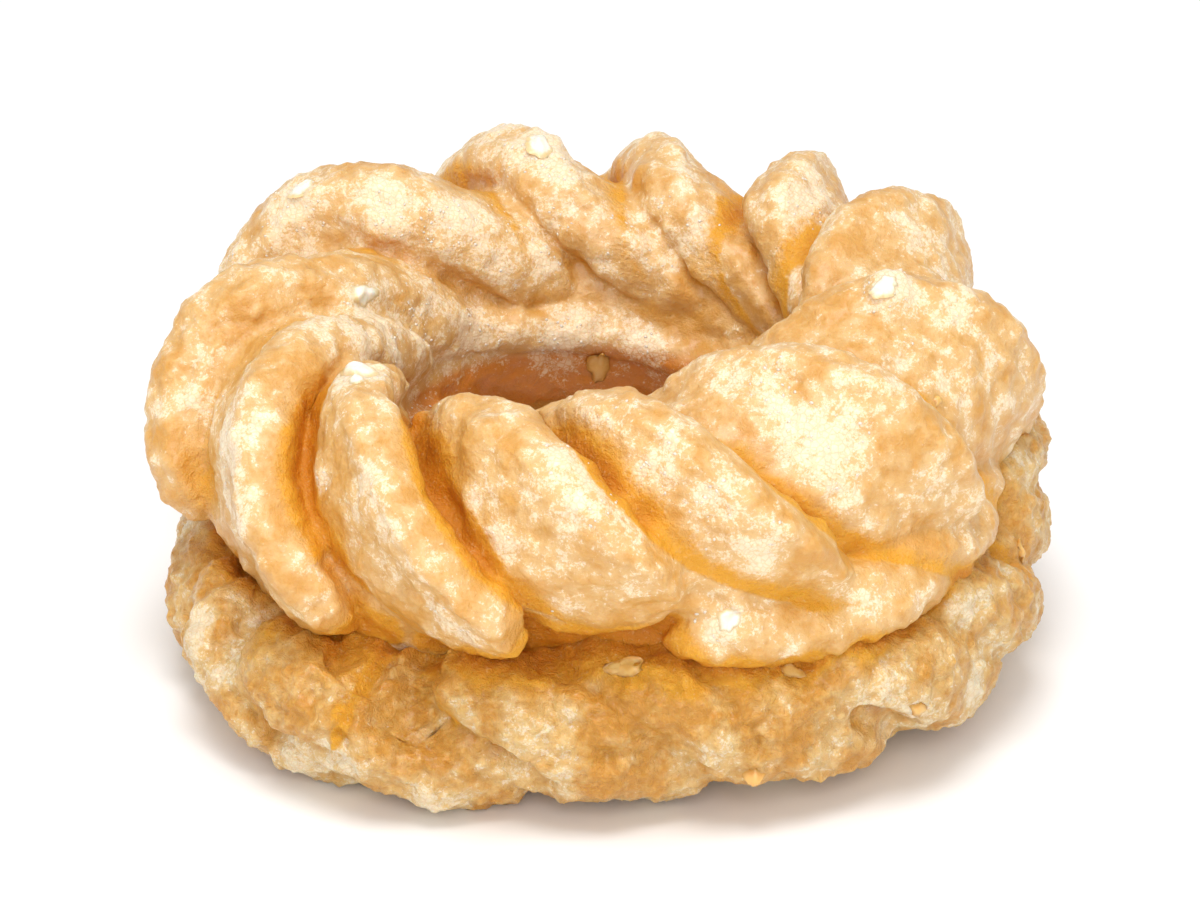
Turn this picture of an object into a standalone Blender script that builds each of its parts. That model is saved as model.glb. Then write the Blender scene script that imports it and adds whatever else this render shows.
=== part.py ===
"""A glazed French cruller: one ring of choux dough, piped through a star nozzle and fried.

Frame: metres, +Z up. The origin is the middle of the footprint, on the surface that the ring lies on.
The ring's axis is +Z. Angles round the ring start at +X and turn towards +Y, so the front is at 270 degrees.
Angles round the dough's section start on the outside (0) and turn over the top (90) into the hole (180).
"""

import math
from collections import namedtuple

import bmesh
import bpy
from mathutils import Matrix, Vector

MM = 0.001

# A ring's section: the ring's axis to the section's middle, that middle above the table, how far the
# outline reaches from it outwards, into the hole, upwards and downwards, how square it is (2 is an
# ellipse), and how far the ring sits to the right of the middle.
Section = namedtuple("Section", "radius middle outer inner rise drop squareness aside")
ROPE = Section(28.0 * MM, 19.0 * MM, 14.4 * MM, 12.6 * MM, 18.7 * MM, 17.0 * MM, 2.25, -0.8 * MM)
TOP_CORE = Section(27.4 * MM, 22.5 * MM, 9.8 * MM, 9.6 * MM, 11.4 * MM, 12.0 * MM, 2.0, -0.8 * MM)
BASE = Section(28.0 * MM, 10.0 * MM, 12.3 * MM, 11.0 * MM, 9.0 * MM, 10.0 * MM, 1.95, 0.0)

# The piped ridges over the top: where each crosses the top of the ring, how far it leans from the way
# straight over the rope there and at its foot, in degrees, how wide it is ahead of and behind its middle
# line and how far it stands above the rope's outline, in mm, from which tilt inside the hole to which on
# the outside it runs, how far its top hangs over the valley ahead of it, as a share of its height, how far
# that edge is undercut, and how straight its slope behind is, from 0, round, to 1.
Ridge = namedtuple("Ridge", "crest lean foot edge flank stand start end skew crisp tent")
RIDGES = (
    Ridge(199, 32, 40, 5.4, 7.6, 1.4, 162, -16, 0.4, 0.7, 0.40),
    Ridge(215, 42, 46, 4.8, 6.0, 1.5, 100, -9, 0.5, 1.0, 0.50),
    Ridge(240, 44, 57, 5.0, 6.2, 2.3, 110, 10, 0.5, 1.0, 0.50),
    Ridge(265, 41, 56, 5.4, 6.2, 2.6, 130, 2, 0.5, 1.0, 0.55),
    Ridge(299, 33, 40, 5.6, 8.4, 2.8, 162, 2, 0.5, 0.8, 0.50),
    Ridge(334, 28, 36, 6.0, 7.6, 3.6, 162, 2, 0.4, 0.5, 0.50),
    Ridge(14, 26, 42, 5.0, 7.0, 4.0, 162, -2, 0.3, 0.5, 0.45),
    Ridge(41, 24, 44, 5.0, 6.0, 2.6, 162, -6, 0.3, 0.6, 0.40),
    Ridge(68, 24, 44, 4.8, 5.2, 0.9, 162, -8, 0.3, 0.6, 0.50),
    Ridge(94, 16, 44, 4.0, 5.2, 2.4, 162, -8, 0.3, 0.6, 0.45),
    Ridge(132, 20, 30, 6.4, 6.2, 3.2, 162, -6, 0.2, 0.5, 0.30),
    Ridge(171, 24, 34, 6.4, 6.4, 1.4, 162, -8, 0.2, 0.6, 0.30),
)
RIDGE_HEIGHT = 7.2 * MM
HOLE_LEAN = 46.0  # how far every ridge leans towards the hole, in degrees
FOOT_NARROWER = 0.2  # how much narrower its foot is than its top
HOLE_SHIFT = 0.34  # how much less the rope reaches into the hole at the right, as a share
HOLE_SHIFT_TURN = 15.0
FRONT_OPEN = 0.34  # the same at the front, where its top is lower too
FRONT_DIP = 0.19
FRONT_TURN = 256.0
POINTED = 0.22  # how much narrower a ridge is at its top than at its foot
UNDERCUT = 0.35  # how much further a crisp edge reaches at the top of the ridge than at its foot

# The ridges of the base, flattened in the fat: turn, half width in mm, stand in mm.
Fold = namedtuple("Fold", "turn half_width stand")
FOLDS = (
    Fold(190, 5.0, 2.5), Fold(211, 4.6, 2.5), Fold(232, 5.4, 2.7), Fold(260, 6.4, 2.2), Fold(289, 6.4, 1.8),
    Fold(314, 5.4, 2.1), Fold(336, 4.8, 2.5), Fold(1, 5.2, 2.6), Fold(30, 5.6, 2.5), Fold(58, 5.6, 2.6),
    Fold(86, 5.6, 2.3), Fold(114, 5.6, 2.6), Fold(142, 5.6, 2.4), Fold(168, 5.2, 2.5),
)
FOLD_LEAN = 50.0
FOLD_HEIGHT = 4.0 * MM
FOLD_SPAN = (48.0, -70.0)

# Where the base bulges or is pressed in: the turn, how far that spreads, in degrees, and how far out, in mm.
Bulge = namedtuple("Bulge", "turn spread out")
BULGES = (
    Bulge(268, 26, -3.0),
    Bulge(224, 20, 1.6),
    Bulge(316, 20, 1.0),
    Bulge(185, 26, -0.8),
    Bulge(0, 34, -0.4),
)
BASE_ASIDE = 0.6 * MM  # how far the base sits to the right
LIFT = 2.4 * MM  # how far the underside curls up at the front right
LIFT_TURN = 312.0
BASE_LEAN = 4.4 * MM  # how far the base's top rises towards the right, and falls towards the left
SOLE = 3.0 * MM  # the lowest part of the base, which stays level

# The core is drawn in under the tips of the ridges at the front, which hang free there.
HOLLOW = 4.0 * MM
HOLLOW_TURN = 262.0

# Rolls of dough along the ring: from and to which turn, the tilt at both ends, the radius and how deep
# the roll's middle lies under the rope's outline, both in mm.
Roll = namedtuple("Roll", "start stop tilt last_tilt radius depth")
ROLLS = (
    Roll(280, 354, -3, 12, 4.8, 4.9),  # the hem under the feet of the ridges at the front right
    Roll(182, 240, 106, 98, 5.0, 3.6),  # the smooth end of the front left ridge, over the hole
    Roll(342, 396, -2, 4, 5.4, 4.2),  # the top of the base at the right
    Roll(134, 200, 186, 190, 4.6, 3.6),  # the bulge inside the hole, under the rim
)

# The rim round the back of the hole, over an undercut wall: turn, distance from the axis and height in mm.
RIM = (
    (20, 20.5, 26.5), (38, 18.5, 23.5), (56, 17.0, 22.0), (76, 16.5, 23.0), (96, 16.0, 24.8), (116, 16.2, 25.6),
    (136, 17.0, 26.0), (156, 18.2, 26.0), (177, 19.6, 26.4), (196, 19.4, 27.5), (210, 19.6, 28.5),
)
RIM_WIDTH = 3.4 * MM
RIM_THICKNESS = 2.4 * MM

VOXEL = 0.7 * MM
FLAT = 0.4 * MM  # how much of the underside's lowest part is pressed flat
TRIANGLES = 8700


def away(turn, other):
    """How many degrees there are between two turns."""
    return abs((math.degrees(turn) - other + 180) % 360 - 180)


def outline(section, tilt):
    """How far a section's outline lies outwards and upwards of its middle, at that tilt."""
    across, up = math.cos(tilt), math.sin(tilt)
    width = section.outer if across > 0 else section.inner
    height = section.rise if up > 0 else section.drop
    stretch = (abs(across) ** section.squareness + abs(up) ** section.squareness) ** (-1 / section.squareness)
    return width * across * stretch, height * up * stretch


def on_ring(section, turn, tilt, depth=0.0):
    """A point that far under a ring's outline, and the way out of the dough there."""
    out, up = outline(section, tilt)
    width = section.outer if out > 0 else section.inner
    height = section.rise if up > 0 else section.drop
    way = Vector((out / width**2, 0, up / height**2)).normalized()
    if section is not BASE:
        front = math.exp(-((away(turn, FRONT_TURN) / 42) ** 2))
        if out < 0:
            out *= 1 - HOLE_SHIFT * math.exp(-((away(turn, HOLE_SHIFT_TURN) / 45) ** 2)) - FRONT_OPEN * front
        if up > 0:
            up *= 1 - FRONT_DIP * front * min(1.0, max(0.0, (math.degrees(tilt) - 45) / 50))
    place = Vector((section.radius + out, 0, section.middle + up)) - way * depth
    spin = Matrix.Rotation(turn, 3, "Z")
    return spin @ place + Vector((section.aside, 0, 0)), spin @ way


def turned(row, tilt, steps=24):
    """Where round the ring a ridge has got to at that tilt."""
    turn = math.radians(row.crest)
    swept = tilt - math.pi / 2
    girth = (ROPE.outer + ROPE.rise) / 2
    for step in range(steps):
        at = math.pi / 2 + swept * (step + 0.5) / steps
        down = min(1.0, max(0.0, (60 - math.degrees(at)) / 45))
        inside = min(1.0, max(0.0, (math.degrees(at) - 90) / 35))
        lean = row.lean + (row.foot - row.lean) * down + (HOLE_LEAN - row.lean) * inside
        turn -= math.tan(math.radians(lean)) * girth * swept / steps / (ROPE.radius + outline(ROPE, at)[0])
    return turn


def bridge(bm, near, far):
    """Faces between two rings of as many vertices."""
    for i in range(len(near)):
        j = (i + 1) % len(near)
        bm.faces.new((near[i], near[j], far[j], far[i]))


def sweep(bm, stations, skew=0.0, crisp=0.0, flank=1.0, tent=0.0, sides=20):
    """A closed finger of dough through the stations: (point, way out, half width, half height)."""
    rings = []
    last = len(stations) - 1
    for i, (point, way, width, height) in enumerate(stations):
        ahead = (stations[min(i + 1, last)][0] - stations[max(i - 1, 0)][0]).normalized()
        side = ahead.cross(way).normalized()
        lift = side.cross(ahead).normalized()
        ring = []
        for k in range(sides):
            x, y = math.cos(math.tau * k / sides), math.sin(math.tau * k / sides)
            spread = flank * (1 - POINTED * y) if x > 0 else 1 + crisp * UNDERCUT * y
            peak = (1 - tent) * y + tent * (1 - x) if y > 0 and x > 0 else y
            wide = width * x * spread - skew * height * y
            ring.append(bm.verts.new(point + side * wide + lift * height * peak))
        rings.append(ring)
    for near, far in zip(rings, rings[1:]):
        bridge(bm, near, far)
    bm.faces.new(rings[0][::-1])
    bm.faces.new(rings[-1])


def spaced(steps):
    """Shares of a way from 0 to 1, closer together towards both ends."""
    return [(1 - math.cos(math.pi * step / steps)) / 2 for step in range(steps + 1)]


def rounded(share, power=6):
    """1 along a finger, falling to a round tip at both ends."""
    return max(0.02, 1 - (2 * share - 1) ** power) ** 0.5


def top_ridge(bm, row):
    stations = []
    for share in spaced(32):
        tilt = math.radians(row.start + (row.end - row.start) * share)
        crowd = min(1.0, 0.35 + 0.65 * (ROPE.radius + outline(ROPE, tilt)[0]) / ROPE.radius)
        height = RIDGE_HEIGHT * (0.6 + 0.4 * crowd)
        narrow = 1 - FOOT_NARROWER * min(1.0, max(0.0, (60 - math.degrees(tilt)) / 40))
        stand = row.stand * MM * math.sin(math.pi * share) ** 0.7
        point, way = on_ring(ROPE, turned(row, tilt), tilt, height - stand)
        width = row.edge * MM * crowd * narrow * rounded(share)
        stations.append((point, way, width, height * rounded(share)))
    sweep(bm, stations, row.skew, row.crisp, row.flank / row.edge, row.tent)


def base_fold(bm, row):
    stations = []
    for share in spaced(16):
        tilt = math.radians(FOLD_SPAN[0] + (FOLD_SPAN[1] - FOLD_SPAN[0]) * share)
        turn = math.radians(row.turn) - math.tan(math.radians(FOLD_LEAN)) * tilt * 12 * MM / 41.5 / MM
        point, way = on_ring(BASE, turn, tilt, FOLD_HEIGHT - row.stand * MM)
        point = uneven(point, turn)
        stations.append((point, way, row.half_width * MM * rounded(share), FOLD_HEIGHT * rounded(share)))
    sweep(bm, stations)


def roll(bm, row):
    stations = []
    for share in spaced(24):
        turn = math.radians(row.start + (row.stop - row.start) * share)
        tilt = math.radians(row.tilt + (row.last_tilt - row.tilt) * share)
        sunk = row.depth + 0.4 * row.radius * (1 - math.sin(math.pi * share))
        point, way = on_ring(ROPE, turn, tilt, sunk * MM)
        radius = row.radius * MM * rounded(share, 2)
        stations.append((point, way, radius, radius))
    sweep(bm, stations)


def rim(bm):
    """The smooth rim of dough round the back and the left of the hole."""
    stations = []
    for share in spaced(36):
        at = RIM[0][0] + (RIM[-1][0] - RIM[0][0]) * share
        turn, radius, height = next(
            [a + (b - a) * (at - near[0]) / (far[0] - near[0]) for a, b in zip(near, far)]
            for near, far in zip(RIM, RIM[1:])
            if near[0] <= at <= far[0] + 1e-9
        )
        across = Vector((math.cos(math.radians(turn)), math.sin(math.radians(turn)), 0))
        point = across * (radius * MM + RIM_WIDTH) + Vector((ROPE.aside, 0, height * MM))
        ends = rounded(share, 8)
        way = (Vector((0, 0, 1)) - 0.5 * across).normalized()
        stations.append((point, way, RIM_WIDTH * ends, RIM_THICKNESS * ends))
    sweep(bm, stations)


def hollowed(point, turn):
    """The core is drawn in at the front, over the base."""
    across = Vector((math.cos(turn), math.sin(turn), 0))
    if point.dot(across) > TOP_CORE.radius:
        under = min(1.0, max(0.0, (27 * MM - point.z) / (7 * MM)))
        point = point - across * (HOLLOW * under * math.exp(-((away(turn, HOLLOW_TURN) / 26) ** 2)))
    return point


def uneven(point, turn):
    """The base bulges unevenly, its top rises towards the right and its edge curls up at the front right."""
    ring_way = Vector((math.cos(turn), math.sin(turn), 0))
    out = sum(row.out * MM * math.exp(-((away(turn, row.turn) / row.spread) ** 2)) for row in BULGES)
    up = BASE_LEAN * math.cos(turn) * min(1.0, max(0.0, point.z - SOLE) / (17 * MM))
    edge = min(1.0, max(0.0, (point.dot(ring_way) - BASE.radius) / (9 * MM))) * max(0.0, 1 - point.z / BASE.middle)
    up += LIFT * edge * math.exp(-((away(turn, LIFT_TURN) / 42) ** 2))
    return point + ring_way * out + Vector((BASE_ASIDE, 0, up))


def plain_ring(bm, section, shape, around=96, sides=40):
    rings = []
    for i in range(around):
        turn = math.tau * i / around
        tilts = [math.tau * (j / sides if j < sides / 2 else j / sides - 1) for j in range(sides)]
        rings.append([bm.verts.new(shape(on_ring(section, turn, tilt)[0], turn)) for tilt in tilts])
    for i in range(around):
        bridge(bm, rings[i], rings[(i + 1) % around])


def pieces():
    """The ring's cores, ridges, folds and rolls, still apart from each other."""
    bm = bmesh.new()
    plain_ring(bm, TOP_CORE, hollowed)
    plain_ring(bm, BASE, uneven)
    for row in RIDGES:
        top_ridge(bm, row)
    for row in FOLDS:
        base_fold(bm, row)
    for row in ROLLS:
        roll(bm, row)
    rim(bm)
    bmesh.ops.recalc_face_normals(bm, faces=bm.faces)
    mesh = bpy.data.meshes.new("cruller")
    bm.to_mesh(mesh)
    bm.free()
    made = bpy.data.objects.new("cruller", mesh)
    bpy.context.scene.collection.objects.link(made)
    return made


def applied(made):
    """Makes the object's modifiers part of its mesh."""
    graph = bpy.context.evaluated_depsgraph_get()
    mesh = bpy.data.meshes.new_from_object(made.evaluated_get(graph))
    made.modifiers.clear()
    made.data = mesh
    return mesh


def outer_skin(mesh):
    """Keeps the largest closed surface, without the pockets of air between the ridges."""
    bm = bmesh.new()
    bm.from_mesh(mesh)
    left = set(bm.verts)
    skins = []
    while left:
        skin = set()
        front = [left.pop()]
        while front:
            vert = front.pop()
            skin.add(vert)
            near = [edge.other_vert(vert) for edge in vert.link_edges]
            front += [other for other in near if other in left]
            left.difference_update(near)
        skins.append(skin)
    skins.sort(key=len)
    for skin in skins[:-1]:
        bmesh.ops.delete(bm, geom=list(skin), context="VERTS")
    bm.to_mesh(mesh)
    bm.free()


def pressed_flat(mesh):
    """Cuts the lowest part of the underside flat, and sets the ring down on the middle of its footprint."""
    bm = bmesh.new()
    bm.from_mesh(mesh)
    level = min(vert.co.z for vert in bm.verts) + FLAT
    everything = bm.verts[:] + bm.edges[:] + bm.faces[:]
    cut = bmesh.ops.bisect_plane(bm, geom=everything, plane_co=(0, 0, level), plane_no=(0, 0, -1), clear_outer=True)
    rim = [edge for edge in cut["geom_cut"] if isinstance(edge, bmesh.types.BMEdge)]
    bmesh.ops.triangle_fill(bm, edges=rim, use_beauty=True, normal=(0, 0, -1))
    low = Vector([min(vert.co[axis] for vert in bm.verts) for axis in range(3)])
    high = Vector([max(vert.co[axis] for vert in bm.verts) for axis in range(3)])
    bmesh.ops.translate(bm, verts=bm.verts, vec=(-(low.x + high.x) / 2, -(low.y + high.y) / 2, -low.z))
    bmesh.ops.recalc_face_normals(bm, faces=bm.faces)
    bm.to_mesh(mesh)
    bm.free()


def fried(made):
    """Joins the pieces into one skin, softens it and thins its faces out."""
    remesh = made.modifiers.new("one_dough", "REMESH")
    remesh.mode = "VOXEL"
    remesh.voxel_size = VOXEL
    outer_skin(applied(made))
    soft = made.modifiers.new("soft", "SMOOTH")
    soft.factor = 0.5
    soft.iterations = 3
    thin = made.modifiers.new("thin", "DECIMATE")
    thin.ratio = TRIANGLES / sum(len(face.vertices) - 2 for face in made.data.polygons)
    pressed_flat(applied(made))


for old in list(bpy.data.objects):
    bpy.data.objects.remove(old)
cruller = pieces()
fried(cruller)
crust = bpy.data.materials.new("fried_dough")
crust.use_nodes = True
crust.diffuse_color = (0.72, 0.42, 0.14, 1.0)
surface = crust.node_tree.nodes["Principled BSDF"]
surface.inputs["Base Color"].default_value = crust.diffuse_color
surface.inputs["Roughness"].default_value = 0.45
cruller.data.materials.append(crust)
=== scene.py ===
"""A glazed French cruller: a ring of choux dough with slanted piped ridges, fried golden and dipped in sugar glaze.

It lies on a pale floor in soft studio light. Everything is in metres, +Z up, and the front is towards -Y.
Turns round the ring start at +X and go on towards +Y. Tilts round the dough's section start on the outside (0)
and go over the top (90) into the hole (180). Both are in degrees.
"""

import math
import random
from collections import namedtuple

import bmesh
import bpy
import numpy as np
from mathutils import Matrix, Quaternion, Vector, kdtree, noise
from mathutils.bvhtree import BVHTree


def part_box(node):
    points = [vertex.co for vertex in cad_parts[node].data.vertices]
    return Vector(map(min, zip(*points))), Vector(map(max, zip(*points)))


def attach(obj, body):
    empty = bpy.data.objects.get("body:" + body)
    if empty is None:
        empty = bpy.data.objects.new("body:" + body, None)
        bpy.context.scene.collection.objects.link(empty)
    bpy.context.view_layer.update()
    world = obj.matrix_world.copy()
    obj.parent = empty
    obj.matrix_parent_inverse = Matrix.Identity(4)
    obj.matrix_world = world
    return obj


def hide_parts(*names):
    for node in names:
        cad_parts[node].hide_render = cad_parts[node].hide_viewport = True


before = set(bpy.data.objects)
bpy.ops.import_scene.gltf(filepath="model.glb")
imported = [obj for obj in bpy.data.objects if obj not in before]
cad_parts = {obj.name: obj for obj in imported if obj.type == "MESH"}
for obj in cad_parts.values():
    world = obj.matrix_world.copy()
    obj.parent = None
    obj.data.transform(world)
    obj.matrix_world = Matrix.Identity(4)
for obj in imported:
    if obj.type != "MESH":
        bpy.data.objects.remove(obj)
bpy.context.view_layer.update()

# ------------ the piped dough
# Choux dough pressed through a star nozzle into one turned rope and closed to a ring. Its ridges lean over
# the rope, a little like breaking waves, with a ragged edge over the valley ahead. The top is modelled as
# closed fingers of dough over a core, which are then melted into one skin.

MM = 0.001


def table(kind, rows):
    """A table's plain rows, with its columns' names."""
    return [kind(*row) for row in rows]


# A ring's section: the ring's axis to the section's middle, that middle above the table, how far the outline
# reaches from it outwards, into the hole, up and down, how square it is (2 is an ellipse), how far right it sits
Section = namedtuple("Section", "radius middle outer inner rise drop squareness aside")
ROPE = Section(28 * MM, 19 * MM, 14.4 * MM, 12.6 * MM, 18.7 * MM, 17 * MM, 2.25, -0.8 * MM)
CORE = Section(27.4 * MM, 22.5 * MM, 9.8 * MM, 9.6 * MM, 11.4 * MM, 12 * MM, 2, -0.8 * MM)

# A ridge: the turn where it crosses the top; how far it leans there and at its foot, in degrees; its half width
# ahead of and behind its middle line and how far it stands out, in mm; the tilts where it starts and ends; how
# far its top hangs ahead, as a share of its height; how crisp that edge is and how straight the slope behind
# is, from 0 to 1; and how deep the valley ahead is sunk, in mm
Ridge = namedtuple("Ridge", "crest lean foot edge flank stand start end skew crisp tent slot")
RIDGES = table(Ridge, (
    (197, 33, 42, 5.4, 7.6, 1.4, 162, -16, 0.4, 0.7, 0.4, 0.5),
    (211, 46, 50, 4.8, 6, 1.5, 104, -9, 0.5, 1, 0.5, 0.6),
    (237, 46, 58, 5, 6.2, 2.3, 112, 10, 0.5, 1, 0.5, 0.8),
    (262, 41, 56, 5, 6.2, 2.6, 130, 2, 0.5, 1, 0.55, 0.9),
    (299, 33, 40, 5.6, 8.4, 2.8, 162, 2, 0.5, 0.8, 0.5, 0.9),
    (334, 28, 36, 6, 7.6, 3.6, 162, 2, 0.4, 0.5, 0.5, 0.6),
    (14, 26, 42, 5, 7, 4, 162, -2, 0.3, 0.5, 0.45, 0.8),
    (41, 24, 44, 5, 6, 2.8, 156, -6, 0.3, 0.6, 0.4, 0.7),
    (68, 24, 44, 5, 5.8, 1.6, 154, -8, 0.3, 0.7, 0.4, 0.6),
    (95, 20, 44, 5.8, 6.2, 2.6, 152, -8, 0.3, 0.7, 0.35, 0.5),
    (132, 20, 30, 6.4, 7.8, 3.2, 150, -6, 0.2, 0.5, 0.2, 0.3),
    (171, 24, 34, 6.4, 6.4, 1.4, 162, -8, 0.2, 0.6, 0.3, 0.3),
))
RIDGE_HEIGHT = 7.2 * MM
HOLE_LEAN = 46  # how far every ridge leans in the hole, in degrees
FOOT_FROM, FOOT_OVER = 60, 45  # the tilt under which a ridge takes on its foot's lean, and over how much
INSIDE_FROM, INSIDE_OVER = 90, 35  # the same for the lean in the hole
FOOT_NARROWER, NARROWER_OVER = 0.2, 40  # how much narrower its foot is, and over how many degrees
TIGHTEST = 0.35  # how narrow a ridge gets towards the ring's axis, as a share
POINTED = 0.22  # how much narrower it is at its top
STILL_HIGH = 0.6  # how high it stays where it is narrowest, as a share
STAND_UNEVEN, WIDTH_UNEVEN = 0.5 * MM, 0.14  # how much its height and its width vary along it
UNDERCUT = 0.35  # how much further a crisp edge reaches at the top of the ridge than at its foot
EDGE_AT, EDGE_BAND = 0.55, 0.3  # where on its height a crisp edge frays, and in how wide a band
# how far the edge frays out and how unevenly, in mm, and from which half width on it does so in full
FRAY, FRAY_UNEVEN, FRAY_WIDTH = 1.1, 0.9, 3 * MM
HOLE_SHIFT, HOLE_SHIFT_TURN, HOLE_SHIFT_SPREAD = 0.34, 15, 45  # the hole is wider at the right
FRONT_TURN, FRONT_SPREAD = 242, 36  # at the front left the hole is wider and the rope's top lower, as shares
FRONT_OPEN, FRONT_DIP = 0.40, 0.34
DIP_FROM, DIP_OVER = 45, 50  # the tilts over which that dip sets in
VOXEL = 0.36 * MM


def clamped(share):
    """The share, kept from 0 to 1."""
    return min(1.0, max(0.0, share))


def bell(distance, spread):
    """1 at no distance, falling smoothly to 0."""
    return math.exp(-((distance / spread) ** 2))


def away(turn, other):
    """How many degrees there are between a turn in radians and one in degrees."""
    return abs((math.degrees(turn) - other + 180) % 360 - 180)


def reaches(section, out, up):
    """How far a section reaches on that side of its middle, across and up or down."""
    return section.outer if out > 0 else section.inner, section.rise if up > 0 else section.drop


def outline(section, tilt):
    """How far a section's outline lies outwards and upwards of its middle, at that tilt."""
    across, up = math.cos(tilt), math.sin(tilt)
    width, height = reaches(section, across, up)
    stretch = (abs(across) ** section.squareness + abs(up) ** section.squareness) ** (-1 / section.squareness)
    return width * across * stretch, height * up * stretch


def on_ring(section, turn, tilt, depth=0.0):
    """A point that deep under a ring's outline, and the way out there."""
    out, up = outline(section, tilt)
    width, height = reaches(section, out, up)
    way = Vector((out / width**2, 0, up / height**2)).normalized()
    if section.aside < 0:  # the rope and its core, not the base
        front = bell(away(turn, FRONT_TURN), FRONT_SPREAD)
        if out < 0:
            out *= 1 - HOLE_SHIFT * bell(away(turn, HOLE_SHIFT_TURN), HOLE_SHIFT_SPREAD) - FRONT_OPEN * front
        if up > 0:
            up *= 1 - FRONT_DIP * front * clamped((math.degrees(tilt) - DIP_FROM) / DIP_OVER)
    spin = Matrix.Rotation(turn, 3, "Z")
    place = Vector((section.radius + out, 0, section.middle + up)) - way * depth
    return spin @ place + Vector((section.aside, 0, 0)), spin @ way


def leaning(row, tilt):
    """How far a ridge leans at that tilt, both in degrees."""
    down = clamped((FOOT_FROM - tilt) / FOOT_OVER)
    inside = clamped((tilt - INSIDE_FROM) / INSIDE_OVER)
    return row.lean + (row.foot - row.lean) * down + (HOLE_LEAN - row.lean) * inside


def turned(row, tilt, steps=24):
    """The turn that a ridge has got to at that tilt."""
    turn = math.radians(row.crest)
    swept = tilt - math.pi / 2
    girth = (ROPE.outer + ROPE.rise) / 2
    for step in range(steps):
        at = math.pi / 2 + swept * (step + 0.5) / steps
        lean = leaning(row, math.degrees(at))
        turn -= math.tan(math.radians(lean)) * girth * swept / steps / (ROPE.radius + outline(ROPE, at)[0])
    return turn


def crowded(tilt):
    """How wide a ridge can be at that tilt, as a share: less towards the ring's axis."""
    return min(1.0, TIGHTEST + (1 - TIGHTEST) * (ROPE.radius + outline(ROPE, tilt)[0]) / ROPE.radius)


def narrowed(tilt):
    """How wide a ridge is towards its foot, as a share, at that tilt in degrees."""
    return 1 - FOOT_NARROWER * clamped((FOOT_FROM - tilt) / NARROWER_OVER)


def circle(bm, sides, shape, capped=False):
    """A closed loop of edges: shape places each vertex by where it lies on a circle of radius 1."""
    loop = bmesh.ops.create_circle(bm, cap_ends=capped, segments=sides, radius=1.0)["verts"]
    edges = {edge for vert in loop for edge in vert.link_edges}
    for vert in loop:
        vert.co = shape(vert.co.x, vert.co.y)
    return edges


def finger(bm, stations, skew=0.0, crisp=0.0, seed=0.0, sides=32, flank=1.0, tent=0.0):
    """A closed finger of dough through its stations: (point, way out, half width, half height)."""
    before = None
    last = len(stations) - 1
    for i, (point, way, width, height) in enumerate(stations):
        ahead = (stations[min(i + 1, last)][0] - stations[max(i - 1, 0)][0]).normalized()
        side = ahead.cross(way).normalized()
        lift = side.cross(ahead).normalized()
        ragged = noise.noise(Vector((seed, i * 0.33, 0))) + 0.9 * noise.noise(Vector((seed, i * 0.71, 5)))

        def place(x, y):
            spread = flank * (1 - POINTED * y) if x > 0 else 1 + crisp * UNDERCUT * y
            wide = width * x * spread - skew * height * y
            if crisp and x < 0:
                edge = max(0.0, 1 - ((y - EDGE_AT) / EDGE_BAND) ** 2)
                wide -= crisp * (FRAY + FRAY_UNEVEN * ragged) * MM * edge * min(1.0, width / FRAY_WIDTH)
            peaked = (1 - tent) * y + tent * (1 - x) if y > 0 and x > 0 else y
            return point + side * wide + lift * height * peaked

        loop = circle(bm, sides, place, capped=i in (0, last))
        if before:
            bmesh.ops.bridge_loops(bm, edges=list(before | loop))
        before = loop


def spaced(steps):
    """Shares of a way, closer together towards both ends."""
    return [(1 - math.cos(math.pi * step / steps)) / 2 for step in range(steps + 1)]


def rounded(share, power=6):
    """1 along a finger, falling to round tips."""
    return max(0.02, 1 - (2 * share - 1) ** power) ** 0.5


def piped_ridge(bm, row, seed):
    """One ridge, from the hole over the top to its foot."""
    stations = []
    for share in spaced(64):
        tilt = math.radians(row.start + (row.end - row.start) * share)
        crowd = crowded(tilt)
        height = RIDGE_HEIGHT * (STILL_HIGH + (1 - STILL_HIGH) * crowd)
        narrow = narrowed(math.degrees(tilt))
        stand = row.stand * MM * math.sin(math.pi * share) ** 0.7
        stand += STAND_UNEVEN * noise.noise(Vector((seed * 5.1, share * 5, 0)))
        point, way = on_ring(ROPE, turned(row, tilt), tilt, height - stand)
        uneven = 1 + WIDTH_UNEVEN * noise.noise(Vector((seed * 3.7, share * 4, 9)))
        width = row.edge * MM * crowd * narrow * rounded(share) * uneven
        stations.append((point, way, width, height * rounded(share)))
    finger(bm, stations, row.skew, row.crisp, seed, flank=row.flank / row.edge, tent=row.tent)


# where the core is drawn in, and how widely, in degrees; how far, up to which height, fading over how much
HOLLOW_TURN, HOLLOW_SPREAD = 262, 26
HOLLOW_DEPTH, HOLLOW_UNDER, HOLLOW_FADE = 4 * MM, 27 * MM, 7 * MM


def hollowed(point, turn):
    """The core is drawn in at the front, where the ridges' tips hang free."""
    across = Vector((math.cos(turn), math.sin(turn), 0))
    out = point.dot(across) - CORE.radius
    if out > 0:
        under = clamped((HOLLOW_UNDER - point.z) / HOLLOW_FADE)
        point = point - across * (HOLLOW_DEPTH * under * bell(away(turn, HOLLOW_TURN), HOLLOW_SPREAD))
    return point


def ring_of_dough(bm, section, settle, around=144, sides=48):
    """A closed ring, which settle brings into its uneven shape."""
    first = before = None
    for i in range(around):
        turn = math.tau * i / around

        def place(x, y):
            return settle(on_ring(section, turn, math.atan2(y, x))[0], turn)

        loop = circle(bm, sides, place)
        if before:
            bmesh.ops.bridge_loops(bm, edges=list(before | loop))
        first, before = first or loop, loop
    bmesh.ops.bridge_loops(bm, edges=list(before | first))


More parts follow.
